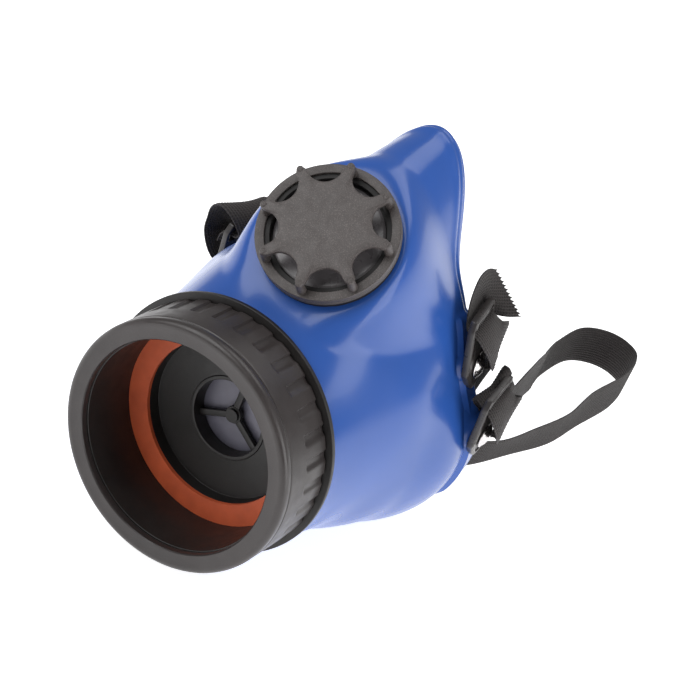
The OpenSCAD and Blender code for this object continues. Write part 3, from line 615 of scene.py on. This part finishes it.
# Straps: each row is a point on the strap's middle line and the way its width runs there
strap = dict(width=20, thick=1.3, step=1.6, ribs=15, ribDeep=0.11, acrossPoints=61, selvage=0.75, finePoints=40,
             smoothings=3, tailRows=34, toothDeep=1.6, teeth=6)
y1, z1 = (0, 1, 0), (0, 0, 1)
# A flap is given by its front and rear edges: out of the slot, down over the plate and round behind its
# rear side
flapEdges = [((-1.2, -10, 18.8), (-1.2, 10, 18.8)), ((0.9, -10, 18), (0.9, 10, 18.2)),
             ((2.8, -9.4, 15.8), (2.4, 10, 16.4)), ((5, -6.8, 11.8), (4, 10.8, 12.6)),
             ((6, -2.6, 7), (4.8, 14, 7.6)), ((5.8, 4.2, 2.6), (3, 19.6, 5.4)),
             ((3.4, 8, -2), (-1.2, 22, 2.4))]
flap = [(tuple((np.array(a) + b) / 2), tuple((np.array(b) - a) / 20)) for a, b in flapEdges]
upperLeftFlap = flap + [((-0.8, 15.6, -5), (-0.15, 0.8, 0.5))]
upperRightStub = [((-10.5, 13.5, 6), (0, 0.85, 0.6)), ((-8, 8, 20), (0.1, 0.97, 0.3)),
                  ((-6, 2.6, 26.4), (0, 1, 0.1)), ((-4.4, 0.6, 24.4), y1), ((-3.8, 0, 20.9), y1),
                  ((-1.2, 0, 19.7), y1), ((1.6, 0, 19.2), y1), ((3.8, 0, 16.5), y1), ((4.6, 0, 12), y1),
                  ((4.6, 0, 8), y1)]
lowerLeftLoop = flap[::-1] + [((-3.6, 0, 20.6), y1), ((-4.4, 1, 22.6), (0, 1, -0.1)),
                              ((-5.2, 3.6, 20.5), (0, 0.8, 0.6)), ((-5.6, 9, 14.5), (0, 0.5, 0.87)),
                              ((-5.8, 17, 7), (0, 0.25, 0.97))]
lowerRightLoop = [((2.3, 6.4, -11.1), y1), ((4.4, 2.8, 1.5), y1), ((7.6, -1, 7.5), y1),
                  ((10.5, -1.7, 14.5), y1), ((8.9, -1.3, 21), (-0.25, 0.96, 0.03)),
                  ((6, -2.2, 27), (-0.45, 0.88, 0.05)),
                  ((2.1, -2.5, 30.3), (-0.57, 0.82, 0.05)), ((-3.8, -1.6, 29.6), (-0.5, 0.85, 0)),
                  ((-7.4, -0.5, 25.2), (-0.2, 0.97, 0)), ((-5.5, 0, 21), y1), ((-1.2, 0, 19.6), y1),
                  ((2.6, 0, 18.2), y1), ((4.2, 0.5, 13), y1)]
upperRun = [((48.5, 109, 20), (0.1, 0.8, 0.5)), ((48, 116, 8), (0, 0.5, 0.85)), ((45, 121, -4), (0, 0.2, 1)),
            ((36, 125, -13), z1), ((12, 128, -17), z1), ((-14, 128, -16), z1), ((-34, 124, -9), z1),
            ((-42, 118, 4), (0, 0.3, 0.9)), ((-42.5, 114, 15), (0, 0.6, 0.8)),
            ((-41.5, 110, 23), (0, 0.7, 0.7))]
lowerRun = [((59, 124, 0), z1), ((57, 144, 0), z1), ((51.5, 172, -8), z1), ((45, 202, -20), z1),
            ((37, 232, -35), z1), ((32, 258, -42), z1), ((33, 282, -42), z1), ((41, 294, -42), z1),
            ((52, 297, -42), z1), ((62, 290, -42), z1), ((66, 268, -42), z1), ((64, 236, -42), z1),
            ((64, 208, -42), (0.15, 0, 1)), ((59, 182, -42), (0.3, 0, 1)), ((52, 154, -42), (0.4, 0, 1)),
            ((38, 136, -42), (0.2, 0, 1)), ((10, 128, -42), z1), ((-24, 127, -42), z1),
            ((-46, 125, -37), (0, 0.2, 1)), ((-58, 119, -28), (0, 0.6, 0.8)), ((-63, 114, -20), (0, 0.8, 0.6))]
# The cut tail is ruled between its own two edges, from the slot to the zigzag cut
tailEdges = [((-1.2, 10, 18.8), (-1.2, -10, 18.8)), ((-3.6, 10, 20.2), (-3.6, -10, 21)),
             ((-4.3, 11, 20.5), (-4.8, -7.5, 27)), ((-4.4, 12.5, 20), (-5.4, -3, 32)),
             ((-4, 14, 16), (-5.5, 3.5, 35.8)), ((-1, 16.6, 13.8), (-5.2, 10, 36)),
             ((4, 18.6, 13.2), (-4.6, 14.8, 34.6)), ((8.6, 20.5, 13.8), (-3.6, 18.2, 32.8))]


def routeRows(route, which=None):
    # A route's points and ways as arrays; those given in a buckle's axes are placed on the object
    spots, ways = (np.array(v, float) for v in zip(*route))
    if which:
        tips = atBuckle(which, spots + ways)
        spots = atBuckle(which, spots)
        ways = tips - spots
    return spots, ways


def strapLine(parts):
    # Parts joined into one list of rows, then sampled evenly: centre(s), way(s) at right angles to the run,
    # each way averaged with its neighbours
    spots = np.concatenate([p[0] for p in parts])
    ways = np.concatenate([p[1] for p in parts])
    owner = np.concatenate([np.full(len(p[0]), k) for k, p in enumerate(parts)])
    u = np.linspace(0, len(spots) - 1, strap["finePoints"] * len(spots))
    line = spline(spots, u)
    gone = np.concatenate([[0], np.cumsum(np.linalg.norm(np.diff(line, axis=0), axis=1))])
    at = np.interp(np.arange(0, gone[-1] + 0.1, strap["step"]), gone, u)
    at[-1] = u[-1]
    centre, way = spline(spots, at), spline(ways, at)
    run = np.gradient(centre, axis=0)
    run /= np.linalg.norm(run, axis=1, keepdims=True)
    way = way - (way * run).sum(1, keepdims=True) * run
    way /= np.linalg.norm(way, axis=1, keepdims=True)
    for _ in range(strap["smoothings"]):
        way[1:-1] = (way[:-2] + 2 * way[1:-1] + way[2:]) / 4
        way /= np.linalg.norm(way, axis=1, keepdims=True)
    return centre, way * strap["width"] / 2, at, owner


def ribbon(centre, half, along0=0.0, zigzag=0.0):
    # Section: across s from -1 to 1 on the front and back again, half thickness with ribs
    # cos(pi ribs (s + 1)) and thin rounded selvages; carried along the centre with out = run x across
    g = strap
    s = np.linspace(-1, 1, g["acrossPoints"])
    h = (g["thick"] / 2 - g["ribDeep"]) * (1 - g["selvage"] * s ** 14)
    h = h + g["ribDeep"] * np.cos(np.pi * g["ribs"] * (s + 1))
    across, lift = np.concatenate([s, s[::-1]]), np.concatenate([h, -h[::-1]])
    run = np.gradient(centre, axis=0)
    out = np.cross(run, half)
    out /= np.linalg.norm(out, axis=1, keepdims=True)
    along = along0 + np.concatenate([[0], np.cumsum(np.linalg.norm(np.diff(centre, axis=0), axis=1))])
    p = centre[:, None] + half[:, None] * across[None, :, None] + out[:, None] * lift[None, :, None]
    if zigzag:  # the cut end's teeth
        teeth = zigzag * (np.abs((s + 1) * g["teeth"] % 1 - 0.5) * 2 - 0.5)
        shift = np.concatenate([teeth, teeth[::-1]])[:, None] * run[-1] / np.linalg.norm(run[-1])
        p[-1] += shift
    uv = np.stack(np.broadcast_arrays(along[:, None], (across + 1)[None] * g["width"] / 2), -1)

    def capped(grid):  # both ends closed by folding the last section onto its own middle line
        folded = (grid + grid[:, ::-1]) / 2
        return np.concatenate([folded[:1], grid, folded[-1:]])

    return capped(p), capped(uv), float(along[-1] - along0)


def strapPiece(name, centre, half, replaces, body, blend, along0):
    # One stretch of strap, riding on a body, or left unattached with its transform baked when a blend is given;
    # its flat size is printed
    p, uv, length = ribbon(centre, half, along0)
    piece = makePiece(name, [(p, False, True)], "strap_black", body, replaces, smooth=60, weave=uv)
    if blend:
        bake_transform(piece)
    print(name, "flat", strap["width"], "x", round(length, 1), "mm")
    return length


def threePieces(names, parts, blends, ends):
    # One continuous strap cut into a left end, a run and a right end where its parts meet
    centre, half, at, owner = strapLine(parts)
    cuts = [np.searchsorted(at, np.nonzero(owner == k)[0][0]) for k in (1, 2)]
    cuts = [0, cuts[0], cuts[1], len(at) - 1]
    along = 0.0
    for k, name in enumerate(names):
        part = slice(cuts[k], cuts[k + 1] + 1)
        along += strapPiece(name, centre[part], half[part], ends[k], None if blends[k] else "root", blends[k],
                            along)


def metres(which, p):
    return tuple(atBuckle(which, p) / 1000)


threePieces(
    ["upperStrapLeft", "upperStrapRun", "upperStrapRight"],
    [routeRows(upperLeftFlap, "upper_left"), routeRows(upperRun), routeRows(upperRightStub, "upper_right")],
    [("upper_left_buckle", "root",
      metres("upper_left", (2, 9, -3)), metres("upper_left", (-3, 16, -9))), None,
     ("upper_right_buckle", "root",
      metres("upper_right", (-6, 5, 24)), metres("upper_right", (-10, 14, 5)))],
    [["upper_strap_end_left"], ["upper_strap"], ["upper_strap_end_right"]])
threePieces(
    ["lowerStrapLeft", "lowerStrapRun", "lowerStrapRight"],
    [routeRows(lowerLeftLoop, "lower_left"), routeRows(lowerRun), routeRows(lowerRightLoop, "lower_right")],
    [("lower_left_buckle", "root",
      metres("lower_left", (-4.5, 13.5, 18)), metres("lower_left", (-4.5, 25, 18))), None,
     ("lower_right_buckle", "root",
      metres("lower_right", (2.3, 7, -11)), metres("lower_right", (-1.6, 15, -20)))],
    [["lower_strap_end_left"], ["lower_strap"], ["lower_strap_end_right"]])

edges = np.array(tailEdges, float)
tailAt = np.linspace(0, len(edges) - 1, strap["tailRows"])
tailFront, tailRear = (atBuckle("upper_left", spline(edges[:, k], tailAt)) for k in (0, 1))
tailMesh, tailUv, tailLength = ribbon((tailFront + tailRear) / 2, (tailRear - tailFront) / 2,
                                      zigzag=strap["toothDeep"])
tail = makePiece("upperStrapTail", [(tailMesh, False, True)], "strap_black", "upper_left_buckle", smooth=60,
                 weave=tailUv)
print("straps done")

# CAD nodes that stay, with better finishes
for slot, names in {"gasket_orange": ["cartridge_gasket"], "valve_black": ["exhalation_seat"],
                    "holder_black": ["holder_nut", "exhalation_clamp_ring", "inhalation_pin"],
                    "rivet_chrome": ["rivet_washers"]}.items():
    for name in names:
        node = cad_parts[name]
        node.data.materials.clear()
        node.data.materials.append(finishes[slot])

# Floor and lights: each light's place, target and size in mm, and its power in watts; the floor's half width
# and its gap below the object are in metres
studio = dict(world=0.3, floor=(0.93, 0.93, 0.94), glow=0.72, floorHalf=6, floorGap=0.0005,
              lights=[("keyLight", (-560, -560, 800), (0, 30, 20), 900, 9.0),
                      ("fillLight", (900, 60, 260), (40, 80, 20), 700, 5.0),
                      ("topLight", (60, 420, 900), (0, 60, 20), 620, 3.0)])
world = bpy.data.worlds.new("studio")
bpy.context.scene.world = world
world.use_nodes = True
sky = world.node_tree.nodes["Background"]
sky.inputs["Color"].default_value = (1, 1, 1, 1)
ray = world.node_tree.nodes.new("ShaderNodeLightPath")  # the backdrop shows white, and lights the object softly
strength = world.node_tree.nodes.new("ShaderNodeMapRange")
strength.inputs["To Min"].default_value = studio["world"]
strength.inputs["To Max"].default_value = 1.0
world.node_tree.links.new(ray.outputs["Is Camera Ray"], strength.inputs["Value"])
world.node_tree.links.new(strength.outputs["Result"], sky.inputs["Strength"])
floorMesh = bpy.data.meshes.new("floor")
w, floorZ = studio["floorHalf"], cadLow[2] - studio["floorGap"]
floorMesh.from_pydata([(-w, -w, floorZ), (w, -w, floorZ), (w, w, floorZ), (-w, w, floorZ)], [], [(0, 1, 2, 3)])
floor = bpy.data.objects.new("floor", floorMesh)
bpy.context.scene.collection.objects.link(floor)
paper = bpy.data.materials.new("paleFloor")
paper.use_nodes = True
paperShader = paper.node_tree.nodes["Principled BSDF"]
paperShader.inputs["Base Color"].default_value = (*studio["floor"], 1)
paperShader.inputs["Roughness"].default_value = 0.9
paperShader.inputs["Emission Color"].default_value = (1, 1, 1, 1)
paperShader.inputs["Emission Strength"].default_value = studio["glow"]
floorMesh.materials.append(paper)
for name, place, target, size, power in studio["lights"]:
    light = bpy.data.objects.new(name, bpy.data.lights.new(name, "AREA"))
    bpy.context.scene.collection.objects.link(light)
    light.data.size = size / 1000
    light.data.energy = power
    light.location = Vector(place) / 1000
    light.rotation_euler = (Vector(place) - Vector(target)).to_track_quat("Z", "Y").to_euler()
print("studio done")
